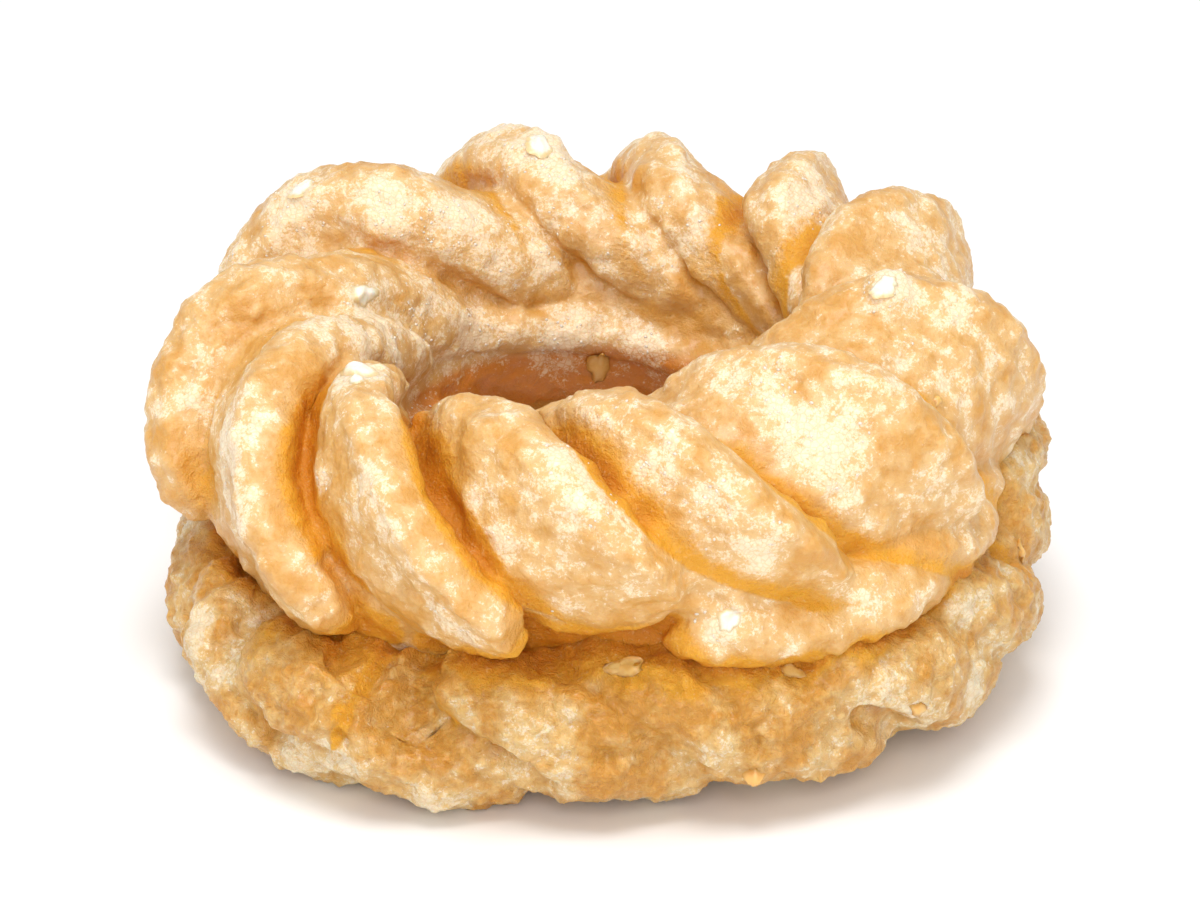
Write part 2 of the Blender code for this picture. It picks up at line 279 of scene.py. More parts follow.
# rolls of dough along the ring: from and to which turn, the tilt at both ends, radius and depth in mm
Roll = namedtuple("Roll", "start stop tilt last_tilt radius depth")
HEM = Roll(280, 354, -3, 12, 4.8, 4.9)
LEFT_ROLL = Roll(182, 240, 106, 98, 5.0, 3.6)
RIGHT_SHOULDER = Roll(342, 396, -2, 4, 5.4, 4.2)
HOLE_BULGE = Roll(136, 202, 184, 188, 4.8, 2.8)
BACK_SHOULDER = Roll(46, 166, 120, 118, 6.5, 7.6)
ENDS_DEEPER = 0.4  # how much deeper a roll's ends lie, as a share of its radius


def roll(bm, row):
    """A roll of dough along the ring, most of it under the skin."""
    stations = []
    for share in spaced(40):
        turn = math.radians(row.start + (row.stop - row.start) * share)
        tilt = math.radians(row.tilt + (row.last_tilt - row.tilt) * share)
        sunk = row.depth + ENDS_DEEPER * row.radius * (1 - math.sin(math.pi * share))
        point, way = on_ring(ROPE, turn, tilt, sunk * MM)
        radius = row.radius * MM * rounded(share, 2)
        stations.append((point, way, radius, radius))
    finger(bm, stations)


# the rim round the hole, over an undercut wall: turn, distance from the axis and height in mm
RIM = (
    (20, 20.5, 26.5), (38, 18.5, 23.5), (56, 17, 22), (76, 16.5, 23), (96, 16, 24.8), (116, 16.2, 25.6),
    (136, 17, 26), (156, 18.2, 26), (177, 19.6, 26.4), (196, 19.4, 27.5), (210, 19.6, 28.5),
)
RIM_WIDTH = 3.4 * MM
RIM_THICKNESS = 2.4 * MM
RIM_SLOPE = 0.5  # how steeply it falls into the hole


def rim(bm):
    """The rim, as a flat finger that follows its table of places."""
    stations = []
    turns, radii, heights = (np.array(column, float) for column in zip(*RIM))
    for share in spaced(48):
        turn = turns[0] + (turns[-1] - turns[0]) * share
        radius = np.interp(turn, turns, radii) * MM + RIM_WIDTH
        height = np.interp(turn, turns, heights) * MM
        across = Vector((math.cos(math.radians(turn)), math.sin(math.radians(turn)), 0))
        way = (Vector((0, 0, 1)) - RIM_SLOPE * across).normalized()
        ends = rounded(share, 8)
        point = across * radius + Vector((ROPE.aside, 0, height))
        stations.append((point, way, RIM_WIDTH * ends, RIM_THICKNESS * ends))
    finger(bm, stations, sides=24)


def shown(name, data):
    """A new object in the scene."""
    thing = bpy.data.objects.new(name, data)
    bpy.context.scene.collection.objects.link(thing)
    return thing


def piece_of(name, bm):
    """A new piece in the scene from its faces."""
    mesh = bpy.data.meshes.new(name)
    bm.to_mesh(mesh)
    bm.free()
    return shown(name, mesh)


def modified(piece, name, kind, **settings):
    """Puts one more modifier on a piece."""
    modifier = piece.modifiers.new(name, kind)
    for setting, value in settings.items():
        setattr(modifier, setting, value)


def settled(piece):
    """Makes a piece's modifiers part of its mesh."""
    graph = bpy.context.evaluated_depsgraph_get()
    mesh = bpy.data.meshes.new_from_object(piece.evaluated_get(graph))
    piece.modifiers.clear()
    piece.data = mesh


def melted(name, bm):
    """The fingers and cores joined into one skin, without the closed pockets inside."""
    bmesh.ops.recalc_face_normals(bm, faces=bm.faces)
    piece = piece_of(name, bm)
    modified(piece, "one_skin", "REMESH", mode="VOXEL", voxel_size=VOXEL)
    modified(piece, "soft", "SMOOTH", factor=0.5, iterations=3)
    settled(piece)
    skinned = bmesh.new()
    skinned.from_mesh(piece.data)
    left = set(skinned.verts)
    skins = []
    while left:
        found = [left.pop()]
        for vert in found:  # it grows as it is walked
            fresh = {edge.other_vert(vert) for edge in vert.link_edges} & left
            left -= fresh
            found += fresh
        skins.append(found)
    for pocket in sorted(skins, key=len)[:-1]:
        bmesh.ops.delete(skinned, geom=pocket, context="VERTS")
    skinned.to_mesh(piece.data)
    skinned.free()
    return piece


dough = bmesh.new()
ring_of_dough(dough, CORE, hollowed)
for seed, row in enumerate(RIDGES, 1):
    piped_ridge(dough, row, seed)
for row in (HEM, LEFT_ROLL, HOLE_BULGE, BACK_SHOULDER):
    roll(dough, row)
rim(dough)
top = melted("piped_top", dough)

# ------------ the base
# The lower half of the rope lay deepest in the fat: it spread, its ridges were pressed flat and stretched
# into coarse folds, and its underside set flat where the ring first floated.

BASE = Section(28 * MM, 10 * MM, 12.3 * MM, 11 * MM, 9 * MM, 10 * MM, 1.95, 0)
BASE_ASIDE = 0.6 * MM  # how far it sits to the right
BASE_LEAN = 4.4 * MM  # how much higher its top is at the right
SOLE, LEAN_OVER = 3 * MM, 17 * MM  # that rise starts over the sole and is full so far above it
LIFT, LIFT_TURN, LIFT_SPREAD = 2.4 * MM, 312, 42  # how far its edge curls up at the front right
CURL_OVER = 9 * MM  # how far in from its edge that curl starts

# where the base bulges or is pressed in: turn, spread, and how far out in mm
Bulge = namedtuple("Bulge", "turn spread out")
BULGES = table(Bulge, ((268, 26, -3.0), (224, 20, 1.6), (316, 20, 1.0), (185, 26, -0.8), (0, 34, -0.4)))
# the flattened ridges of the base: turn, half width and stand in mm
Fold = namedtuple("Fold", "turn half_width stand")
FOLDS = table(Fold, (
    (190, 5, 2.5), (211, 4.6, 2.5), (232, 5.4, 2.7), (260, 6.4, 2.2), (289, 6.4, 1.8), (314, 5.4, 2.1),
    (336, 4.8, 2.5), (1, 5.2, 2.6), (30, 5.6, 2.5), (58, 5.6, 2.6), (86, 5.6, 2.3), (114, 5.6, 2.6), (142, 5.6, 2.4),
    (168, 5.2, 2.5),
))
FOLD_LEAN = 50  # how far every fold leans, in degrees
FOLD_REACH, FOLD_ROUND = 12, 41.5  # how thick the base is there and how far from the axis, in mm
FOLD_HEIGHT = 4 * MM
FOLD_SPAN = (48, -70)  # the tilts where a fold starts and ends


def sagged(point, turn):
    """The base bulges unevenly, rises towards the right and curls up at the front right."""
    ring_way = Vector((math.cos(turn), math.sin(turn), 0))
    out = sum(row.out * MM * bell(away(turn, row.turn), row.spread) for row in BULGES)
    up = BASE_LEAN * math.cos(turn) * clamped((point.z - SOLE) / LEAN_OVER)
    edge = clamped((point.dot(ring_way) - BASE.radius) / CURL_OVER) * max(0.0, 1 - point.z / BASE.middle)
    up += LIFT * edge * bell(away(turn, LIFT_TURN), LIFT_SPREAD)
    return point + ring_way * out + Vector((BASE_ASIDE, 0, up))


def base_fold(bm, row):
    """One flattened ridge of the base, from its waist down to the sole."""
    stations = []
    for share in spaced(32):
        tilt = math.radians(FOLD_SPAN[0] + (FOLD_SPAN[1] - FOLD_SPAN[0]) * share)
        turn = math.radians(row.turn) - math.tan(math.radians(FOLD_LEAN)) * tilt * FOLD_REACH / FOLD_ROUND
        point, way = on_ring(BASE, turn, tilt, FOLD_HEIGHT - row.stand * MM)
        ends = rounded(share)
        stations.append((sagged(point, turn), way, row.half_width * MM * ends, FOLD_HEIGHT * ends))
    finger(bm, stations)


dough = bmesh.new()
ring_of_dough(dough, BASE, sagged)
for row in FOLDS:
    base_fold(dough, row)
roll(dough, RIGHT_SHOULDER)
base = melted("spread_base", dough)

# Both halves are set down in the middle of the CAD ring's box, with their lowest bit pressed flat.
FLAT = 0.4 * MM


def points_of(piece):
    """The piece's points and the ways out of it there, as arrays."""
    count = len(piece.data.vertices)
    points = np.empty(count * 3, np.float32)
    ways = np.empty(count * 3, np.float32)
    piece.data.vertices.foreach_get("co", points)
    piece.data.vertex_normals.foreach_get("vector", ways)
    return points.reshape(-1, 3).astype(float), ways.reshape(-1, 3).astype(float)


def put(piece, points):
    """Moves a piece's points to new places."""
    piece.data.vertices.foreach_set("co", points.astype(np.float32).ravel())
    piece.data.update()


both = np.concatenate([points_of(top)[0], points_of(base)[0]])
low, high = both.min(0), both.max(0)
low_cad, high_cad = (np.array(corner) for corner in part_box("cruller"))
shift = (low_cad + high_cad) / 2 - (low + high) / 2
shift[2] = -low[2] - FLAT
for piece in (top, base):
    put(piece, points_of(piece)[0] + shift)

# ------------ the crust's relief
# Steam and hot fat leave the crust lumpy, blistered and torn, most on the base. The relief is pushed out of the
# two skins: chance bumps, creases, lumps and, ahead of each ridge, the bed of its valley.


def wander(points, size, octaves, seed):
    """Smooth chance values, about -1 to 1, in bumps of that size."""
    scale = 1 / size
    start = Vector((seed * 13.7, seed * 7.1, seed * 3.3))
    return np.array([noise.fractal(Vector(p) * scale + start, 1.0, 2.0, octaves) for p in points])


def grown(piece, out):
    """Moves the skin outwards by so much at each point."""
    points, ways = points_of(piece)
    put(piece, points + ways * out[:, None])


def round_the_dough(points):
    """Turn, tilt, distance from the axis and distance from the rope's middle of each point."""
    x, y, z = (points - shift).T
    x = x - ROPE.aside
    across = np.hypot(x, y)
    out, up = across - ROPE.radius, z - ROPE.middle
    return np.degrees(np.arctan2(y, x)) % 360, np.degrees(np.arctan2(up, out)), across, np.hypot(out, up)


def off_line(lie, stops):
    """How far each point lies from a line drawn on the dough through its stops (turn, tilt)."""
    turns, tilts, across, thick = lie
    nearest = np.full(len(turns), 1.0)
    for (turn, tilt), (next_turn, next_tilt) in zip(stops, stops[1:] or stops):
        u = np.radians((turns - turn + 180) % 360 - 180) * across
        v = np.radians((tilts - tilt + 180) % 360 - 180) * thick
        du, dv = np.radians(next_turn - turn) * across, np.radians(next_tilt - tilt) * thick
        share = np.clip((u * du + v * dv) / (du**2 + dv**2 + 1e-12), 0, 1)
        nearest = np.minimum(nearest, np.hypot(u - share * du, v - share * dv))
    return nearest


EDGE_SHARE = 0.85  # how far out on a ridge's half width its overhanging edge lies
HANG_HEIGHT = 7  # the height that a skewed top hangs over from, in mm
# over how many degrees a valley fades out at a ridge's foot and top, and how far short of the top
FADE_FOOT, FADE_TOP, TOP_GAP = 8, 20, 4
# where the ring's front half starts; how much its valleys fade over the top, from which tilt, over how much
FRONT_HALF, FRONT_FADE, FRONT_FADE_FROM, FRONT_FADE_OVER = 180, 0.75, 74, 18


def ahead_of(lie, row):
    """How far each point lies ahead of a ridge's edge, and how much of the ridge's valley is there."""
    turns, tilts, across, _ = lie
    steps = np.linspace(row.start, row.end, 40)
    middles, reach, leans = [], [], []
    for step in steps:
        tilt = math.radians(step)
        middles.append(math.degrees(turned(row, tilt)))
        crowd = crowded(tilt)
        hang = 0.5 * row.skew * HANG_HEIGHT * crowd
        reach.append((EDGE_SHARE * row.edge * crowd * narrowed(step) + hang + row.crisp) * MM)
        leans.append(math.cos(math.radians(leaning(row, step))))
    middle, side, lean = (np.interp(tilts, steps[::-1], column[::-1]) for column in (middles, reach, leans))
    ahead = np.radians((turns - middle + 180) % 360 - 180) * across * lean - side
    ended = np.clip((tilts - row.end + FADE_FOOT) / FADE_FOOT, 0, 1)
    ended *= np.clip((row.start - TOP_GAP - tilts) / FADE_TOP, 0, 1)
    if row.crest > FRONT_HALF:
        ended *= 1 - FRONT_FADE * np.clip((tilts - FRONT_FADE_FROM) / FRONT_FADE_OVER, 0, 1)
    return ahead, ended


def band(values, middle, spread):
    """1 in the middle, falling smoothly to 0 on both sides."""
    return np.exp(-(((values - middle) / spread) ** 2))


# bumps all over: how far out and how large in mm, in how many ever finer layers, and which pattern
Bumps = namedtuple("Bumps", "out size octaves seed")
TOP_BUMPS = (Bumps(0.45, 6.5, 1, 1), Bumps(0.4, 2.4, 3, 2), Bumps(0.14, 1.2, 2, 6))
BASE_BUMPS = (Bumps(0.8, 6.5, 1, 3), Bumps(0.4, 2.2, 3, 4), Bumps(0.22, 1.1, 2, 7))
BASE_WRINKLES = Bumps(0.6, 3.0, 3, 5)
# tears and folds in the dough: depth and half width in mm, and the (turn, tilt) stops they run through
Crease = namedtuple("Crease", "depth width stops")
TOP_CREASES = table(Crease, (
    (0.9, 0.9, ((183, 103), (188, 78), (191, 54), (196, 35), (199, 16))),
    (0.5, 0.8, ((142, 116), (143, 100), (149, 78), (150, 52))),
    (0.8, 0.6, ((248, 62), (251, 54))),
    (0.9, 0.7, ((284, 26), (288, 20))),
    (0.5, 0.5, ((304, 88), (306, 82))),
))
BASE_CREASES = table(Crease, (
    (2.4, 1.5, ((243, -30), (246, -37), (251, -38), (258, -48), (263, -56))),
    (1.2, 1.2, ((214, -28), (218, -36), (225, -44), (238, -42))),
    (1.3, 0.6, ((238, -24), (239, -30))),
    (0.9, 0.5, ((238, -33), (239, -36))),
    (1.2, 0.7, ((233, -24), (237, -25))),
    (1.8, 1.4, ((306, -33), (309, -36), (313, -44))),
    (1.3, 2.2, ((279, -44), (283, -49))),
    (0.8, 1.4, ((298, -31), (301, -33))),
    (1.1, 0.8, ((284, -12), (286, -18), (288, -24))),
    (1, 0.6, ((340, -12), (342, -19))),
    (0.9, 0.9, ((340, -8), (334, -11), (336, -24), (338, -38))),
    (0.8, 0.9, ((206, -24), (203, -32), (196, -48))),
    (1, 1, ((262, -20), (266, -30), (272, -44))),
    (0.9, 1, ((22, -4), (28, -20), (38, -42))),
    (1.1, 1.1, ((70, -2), (78, -22), (90, -45))),
    (1, 1.2, ((122, -6), (130, -24), (142, -50))),
    (1.1, 1, ((166, -8), (174, -26), (186, -48))),
))
# blisters, knobs and swellings: where, radius and how far out in mm
Lump = namedtuple("Lump", "turn tilt radius out")
TOP_LUMPS = table(Lump, (
    (254, 70, 2.1, 0.9), (246, 86, 2.8, 0.7), (339, 88, 2.4, 1.3), (219, 80, 2, 0.5), (229, 58, 1.6, 0.35),
    (98, 86, 2.4, 0.6), (266, 64, 2.6, 0.4), (289, 12, 2.4, 0.6), (312, 4, 3, 0.4), (240, 46, 2, 0.3),
    (213, 46, 3, 0.4), (60, 100, 2, 0.5), (150, 96, 2.6, 0.5), (20, 70, 2.2, 0.6), (88, 50, 2.4, 0.6),
    (124, 40, 2.6, 0.6),
))
BASE_LUMPS = table(Lump, (
    (228, -52, 3, 0.8), (209, -28, 3.2, 0.6), (249, -58, 2.8, 0.8), (271, -30, 4, 0.5), (252, -24, 2.6, 0.7),
    (292, -50, 2.4, 0.7), (318, -26, 3, 0.5), (346, -22, 3.2, 0.6), (12, -30, 3, 0.7), (52, -24, 3.4, 0.7),
    (100, -28, 3, 0.8), (150, -30, 3.4, 0.7),
))


def pressed(lie, creases, lumps):
    """How far out of the skin creases and lumps bring each point, in mm."""
    out = np.zeros(len(lie[0]))
    for row in creases:
        out -= row.depth * band(off_line(lie, row.stops), 0, row.width * MM)
    for row in lumps:
        near = off_line(lie, ((row.turn, row.tilt),)) / (row.radius * MM)
        out += row.out * np.clip(1 - near**2, 0, 1)
    return out


def bumpy(points, rows):
    """How far out of the skin bumps of several sizes bring each point, in mm."""
    return sum(row.out * wander(points, row.size * MM, row.octaves, row.seed) for row in rows)


VALLEY_AT, VALLEY_SPREAD = 1.7 * MM, 1.5 * MM  # how far ahead of the edge a valley lies, and how wide
VALLEY_SEEN, VALLEY_SMOOTHED = 0.15, 14  # from which depth in mm its bed is smoothed, and how often

points = points_of(top)[0]
out = bumpy(points, TOP_BUMPS) + pressed(round_the_dough(points), TOP_CREASES, TOP_LUMPS)
grown(top, out * MM)
points = points_of(top)[0]
lie = round_the_dough(points)
turns, tilts = np.radians(lie[0]), np.radians(lie[1])
inward = -np.stack([np.cos(tilts) * np.cos(turns), np.cos(tilts) * np.sin(turns), np.sin(tilts)], 1)
sunk = np.zeros(len(points))
for row in RIDGES:
    ahead, ended = ahead_of(lie, row)
    sunk = np.maximum(sunk, row.slot * ended * band(ahead, VALLEY_AT, VALLEY_SPREAD))
put(top, points + inward * sunk[:, None] * MM)
bed = top.vertex_groups.new(name="valley_beds")
for index in np.flatnonzero(sunk > VALLEY_SEEN).tolist():
    bed.add([index], min(1.0, float(sunk[index])), "REPLACE")
modified(top, "even", "SMOOTH", vertex_group=bed.name, factor=0.5, iterations=VALLEY_SMOOTHED)
settled(top)
points = points_of(base)[0]
out = bumpy(points, BASE_BUMPS) - np.abs(bumpy(points, (BASE_WRINKLES,)))
out += pressed(round_the_dough(points), BASE_CREASES, BASE_LUMPS)
grown(base, out * MM)


def thinned(piece, triangles):
    """Fewer triangles where the skin is smooth, and nothing below the floor."""
    points = points_of(piece)[0]
    points[:, 2] = np.maximum(points[:, 2], 0)
    put(piece, points)
    ratio = min(1.0, triangles / sum(len(face.vertices) - 2 for face in piece.data.polygons))
    modified(piece, "thin", "DECIMATE", ratio=ratio, use_collapse_triangulate=True)
    settled(piece)


TRIANGLES = 190_000
for piece in (top, base):
    thinned(piece, TRIANGLES)
    for face in piece.data.polygons:
        face.use_smooth = True

# ------------ where fat and sugar reached, and where shade falls
# Open places took the glaze and dried pale. Sheltered ones, between the ridges, in the hole and under the overhangs,
# kept the bare golden crust. Shade and warm bounced light also fall there, and these masks paint them into the
# colour.


def coarse(piece, triangles):
    """A light copy of the skin, only for looking from it."""
    light = shown("light_copy", piece.data.copy())
    modified(light, "thin", "DECIMATE", ratio=triangles / len(light.data.polygons))
    settled(light)
    points, ways = points_of(light)
    faces = [tuple(face.vertices) for face in light.data.polygons]
    bpy.data.objects.remove(light)
    return points, ways, faces


SPREAD_RAYS, GOLDEN_ANGLE = 40, 2.399963  # how many rays look round, and the turn between them
RAY_START = 0.15  # how far off the skin they start, in mm
NEAR_REACH, FAR_REACH = 7 * MM, 30 * MM  # how far they look, between the ridges and in the hole
LIGHT_TRIANGLES = 9000


def sheltered(points, ways, skins, reach):
    """How much of the air within reach the dough closes off at each point, 0 to 1."""
    rays = []
    for i in range(SPREAD_RAYS):
        up = 1 - (i + 0.5) / SPREAD_RAYS
        around = i * GOLDEN_ANGLE
        flat = math.sqrt(1 - up * up)
        rays.append(Vector((flat * math.cos(around), flat * math.sin(around), up)))
    closed = np.zeros(len(points))
    for k, (point, way) in enumerate(zip(points, ways)):
        start = Vector(point) + Vector(way) * RAY_START * MM
        turn = Vector(way).to_track_quat("Z", "Y")
        for ray in rays:
            along = turn @ ray
            for skin in skins:
                hit, _, _, distance = skin.ray_cast(start, along, reach)
                if hit:
                    closed[k] += (1 - 0.5 * distance / reach) * ray.z
                    break
    return closed / sum(ray.z for ray in rays)


def carried(values, points, onto):
    """Values known at points, spread to the nearest places of a finer skin."""
    tree = kdtree.KDTree(len(points))
    for i, point in enumerate(points):
        tree.insert(point, i)
    tree.balance()
    spread = np.empty(len(onto))
    for i, place in enumerate(onto):
        near = tree.find_n(place, 4)
        weights = [1 / (distance + 0.1 * MM) for _, _, distance in near]
        spread[i] = sum(values[index] * weight for (_, index, _), weight in zip(near, weights)) / sum(weights)
    return spread


def noted(piece, name, values):
    """Keeps a value for each point on the piece, for its finish to read."""
    layer = piece.data.attributes.new(name, "FLOAT", "POINT")
    layer.data.foreach_set("value", values.astype(np.float32))


light_copies = {piece: coarse(piece, LIGHT_TRIANGLES) for piece in (top, base)}
skins = [BVHTree.FromPolygons(points.tolist(), faces) for points, _, faces in light_copies.values()]
# ray-cast occlusion, near and far: the finish paints shade and warm glow into the hollows with it
for piece, (points, ways, _) in light_copies.items():
    near = sheltered(points, ways, skins, NEAR_REACH)
    noted(piece, "shelter", carried(near, points, points_of(piece)[0]))
    far = sheltered(points, ways, skins, FAR_REACH)
    noted(piece, "depth", carried(far, points, points_of(piece)[0]))

# where the glaze dried thick and white: turn, tilt, radius in mm, amount
Patch = namedtuple("Patch", "turn tilt radius amount")
PATCHES = table(Patch, (
    (288, 16, 2, 0.9), (103, 119, 3.6, 0.9), (96, 103, 2.6, 0.9), (113, 106, 2.6, 0.7), (86, 128, 2.6, 0.6),
    (84, 118, 3.2, 0.8), (70, 124, 3, 0.7), (118, 132, 3.4, 0.7), (101, 92, 3.6, 1.7), (72, 108, 3, 0.6),
    (160, 180, 4.5, 1.1), (180, 182, 3.5, 0.8), (105, 74, 2.6, 1.3), (112, 116, 3.4, 0.7), (34, 98, 3, 1.2),
    (42, 88, 2.6, 0.8), (60, 112, 2.2, 1), (72, 92, 2.6, 0.5), (215, 49, 4.2, 1), (209, 32, 4, 0.8),
    (196, 53, 3, 0.7), (187, 124, 3.4, 1), (205, 104, 3.6, 0.8), (129, 114, 3.6, 0.9), (138, 116, 4, 0.9),
    (149, 71, 4.6, 1), (145, 100, 3.4, 1), (155, 127, 4, 0.8), (226, 85, 2.8, 1.6), (229, 54, 1.4, 1),
    (233, 26, 1.8, 0.8), (240, 52, 1.8, 0.9), (245, 41, 1.7, 0.9), (251, 16, 2, 0.9), (254, 6, 2.2, 0.8),
    (245, 33, 1.6, 0.6), (241, 88, 1.4, 1.1), (253, 55, 1.5, 0.9), (258, 45, 1.6, 0.9), (265, 22, 1.8, 0.7),
    (286, 9, 2.2, 1.2), (266, 64, 3, 0.9), (271, 60, 3.4, 1.1), (277, 61, 3.2, 1), (270, 53, 2.6, 1),
    (280, 66, 2.4, 0.8), (285, 51, 3, 0.9), (292, 41, 2.4, 0.7), (275, 79, 2.6, 0.8), (302, 84, 3.4, 1),
    (304, 72, 3.6, 1), (308, 63, 3.4, 0.9), (307, 53, 3, 0.8), (300, 93, 2.4, 0.7), (339, 88, 2.4, 1.4),
    (334, 80, 3, 0.6), (343, 70, 3, 0.6), (157, 136, 3.2, 0.8), (129, 145, 3.4, 1), (101, 154, 3.4, 1),
    (74, 158, 3, 0.7), (180, 110, 3.2, 0.7), (229, 44, 1.3, 1), (306, 12, 2, 0.4), (296, 0, 1.6, 0.5),
    (292, 15, 1.6, 0.6), (312, 16, 2, 0.2), (323, -12, 1.6, 1.1), (324, -36, 1.8, 1), (228, -49, 2.6, 0.9),
    (237, -41, 2, 0.8), (215, -33, 2, 0.6), (209, -31, 2.6, 0.7), (249, -55, 2, 0.7), (306, -22, 2.6, 0.9),
    (311, -30, 1.8, 1), (10, 70, 3.4, 0.7), (30, 55, 3.4, 0.8), (58, 60, 3.2, 0.8), (84, 62, 3.4, 0.9),
    (118, 50, 4, 0.9), (150, 40, 4, 0.8), (176, 45, 3.6, 0.7), (75, 20, 3.6, 0.7), (105, 26, 3.6, 0.8),
    (40, 25, 3.2, 0.7), (140, 14, 3.4, 0.7), (30, -20, 2.6, 0.7), (64, -28, 2.6, 0.7), (110, -24, 2.8, 0.7),
    (160, -26, 2.6, 0.7),
))
# where the crust is darker brown: browned and rough on the base, and two wide spots deep in the hole that darken it:
# the same columns
SCORCHED = table(Patch, (
    (220, -46, 3, 0.8), (230, -50, 3, 0.7), (309, -36, 2.4, 1), (281, -47, 2.6, 0.8), (299, -31, 1.8, 0.7),
    (315, -50, 3, 0.6), (290, -56, 2.4, 0.7), (60, -46, 3, 0.6), (130, -48, 3.4, 0.7), (134, 178, 6, 0.5),
    (165, 184, 6, 0.5),
))

# where the glaze ran off the golden crust, and where that golden colour paints shade: at the waist under the ridges'
# tips, in the base's creases, on the hem and on the left side: the same columns
GOLDEN_AND_SHADED_PLACES = table(Patch, (
    (256, -12, 3, 1), (262, -8, 3.4, 1.3), (268, -9, 3.4, 1.4), (275, -11, 3.4, 1.4), (282, -13, 3.2, 1.3),
    (290, -13, 2.6, 1.2), (298, -11, 2.4, 1.1), (306, -9, 2.4, 1), (300, 6, 5, 0.4), (325, 7, 5, 0.4),
    (345, 4, 4, 0.35), (196, 12, 6, 0.45), (199, -4, 5, 0.4), (236, -18, 2.4, 1.1), (238, -27, 1.2, 1.4),
    (238, -34, 0.9, 1.4), (245, -34, 1.8, 1), (251, -39, 1.8, 1), (286, -17, 1.6, 1), (341, -16, 1.2, 1.2),
    (222, -22, 2.2, 0.8),
))


def laid(lie, rows):
    """How much of a patch lies on each point."""
    amount = np.zeros(len(lie[0]))
    for row in rows:
        near = band(off_line(lie, ((row.turn, row.tilt),)), 0, row.radius * MM)
        amount = np.maximum(amount, row.amount * near)
    return amount


LEE_FULL, LEE_REACH = 1.3, 4.4 * MM  # how far ahead of a ridge's edge the valley is bare golden crust with painted shade, fading out
LEE_GAP, LEE_START = 0.4 * MM, 0.9 * MM  # the edge itself is glazed
DEEP_SLOT = 0.8
WALL_FROM, WALL_OVER = 152, 16  # the tilt where the hole's wall begins, and over how many degrees
LESS_FROST_ON_GOLDEN = 0.8  # how much of the thick glaze is taken off on the golden and shaded places
for piece in (top, base):
    points = points_of(piece)[0]
    lie = round_the_dough(points)
    lee = np.zeros(len(points))
    if piece is top:
        # the valley ahead of each ridge: bare crust, and painted shade and glow under its overhanging edge
        for row in RIDGES:
            ahead, ended = ahead_of(lie, row)
            near = np.clip(LEE_FULL - ahead / LEE_REACH, 0, 1) * np.clip((ahead - LEE_GAP) / LEE_START, 0, 1)
            lee = np.maximum(lee, ended * min(1.0, row.slot / DEEP_SLOT) * near)
    noted(piece, "lee", np.maximum(lee, laid(lie, GOLDEN_AND_SHADED_PLACES)))
    noted(piece, "frost", laid(lie, PATCHES) - LESS_FROST_ON_GOLDEN * laid(lie, GOLDEN_AND_SHADED_PLACES))
    noted(piece, "hole_wall", np.clip((np.abs(lie[1]) - WALL_FROM) / WALL_OVER, 0, 1))
    noted(piece, "scorch", laid(lie, SCORCHED))

# ------------ the finish of dough and glaze
# The crust is golden where it is bare. Its glaze is thin and clear in places, a pale veil in others, and white
# where it dried thick. The colour also paints shade, warm glow and glints into the valleys and the hole.
# One recipe makes both skins' material.


class Wire:
    """What comes out of a shader node: sums and products of wires make their own Math nodes."""

    def __init__(self, finish, socket):
        self.finish, self.socket = finish, socket

    def maths(self, operation, *values):
        return self.finish.node("ShaderNodeMath", {"operation": operation}, dict(enumerate(values)))

    def __add__(self, other):
        return self.maths("ADD", self, other)

    __radd__ = __add__

    def __sub__(self, other):
        return self.maths("SUBTRACT", self, other)

    def __rsub__(self, other):
        return self.maths("SUBTRACT", other, self)

    def __mul__(self, other):
        return self.maths("MULTIPLY", self, other)

    def between(self, start, stop):
        """0 below start, 1 above stop, and smooth in between."""
        sockets = {"Value": self, "From Min": start, "From Max": stop}
        return self.finish.node("ShaderNodeMapRange", {"interpolation_type": "SMOOTHSTEP"}, sockets)


class Finish:
    """A material in the making."""

    def __init__(self, name):
        self.material = bpy.data.materials.new(name)
        self.material.use_nodes = True
        self.tree = self.material.node_tree
        self.tree.nodes.clear()

    def node(self, kind, settings, sockets, out=0):
        """A new shader node: its settings, and a value or wire for each socket."""
        made = self.tree.nodes.new(kind)
        for name, value in settings.items():
            setattr(made, name, value)
        for name, value in sockets.items():
            if isinstance(value, Wire):
                self.tree.links.new(value.socket, made.inputs[name])
            else:
                made.inputs[name].default_value = value
        return Wire(self, made.outputs[out]) if made.outputs else None

    def mixed(self, under, over, share):
        """The colour over laid on the colour under."""
        return self.node("ShaderNodeMix", {"data_type": "RGBA"}, {0: share, 6: under, 7: over}, 2)

    def noise(self, place, size, detail, rough=0.5, warp=0.0):
        """Cloudy chance values round 0.5, in blots of that size in mm."""
        sockets = {"Vector": place, "Scale": 1 / (size * MM), "Detail": detail}
        sockets |= {"Roughness": rough, "Distortion": warp}
        return self.node("ShaderNodeTexNoise", {}, sockets)

    def noted(self, name):
        """A value that was kept for each point of the piece."""
        return self.node("ShaderNodeAttribute", {"attribute_name": name}, {}, "Fac")

    def done(self, colour, rough, relief, clear, coat):
        """The finished material: its bump, how much light goes in and how far, how much gloss and how rough."""
        sockets = {"Base Color": colour, "Roughness": rough}
        sockets["Normal"] = self.node("ShaderNodeBump", {}, dict(zip(("Strength", "Distance", "Height"), relief)))
        sockets |= zip(("Subsurface Weight", "Subsurface Radius", "Subsurface Scale"), clear)
        sockets |= zip(("Coat Weight", "Coat Roughness"), coat)
        shader = self.node("ShaderNodeBsdfPrincipled", {"subsurface_method": "RANDOM_WALK"}, sockets)
        self.node("ShaderNodeOutputMaterial", {}, {"Surface": shader})
        return self.material


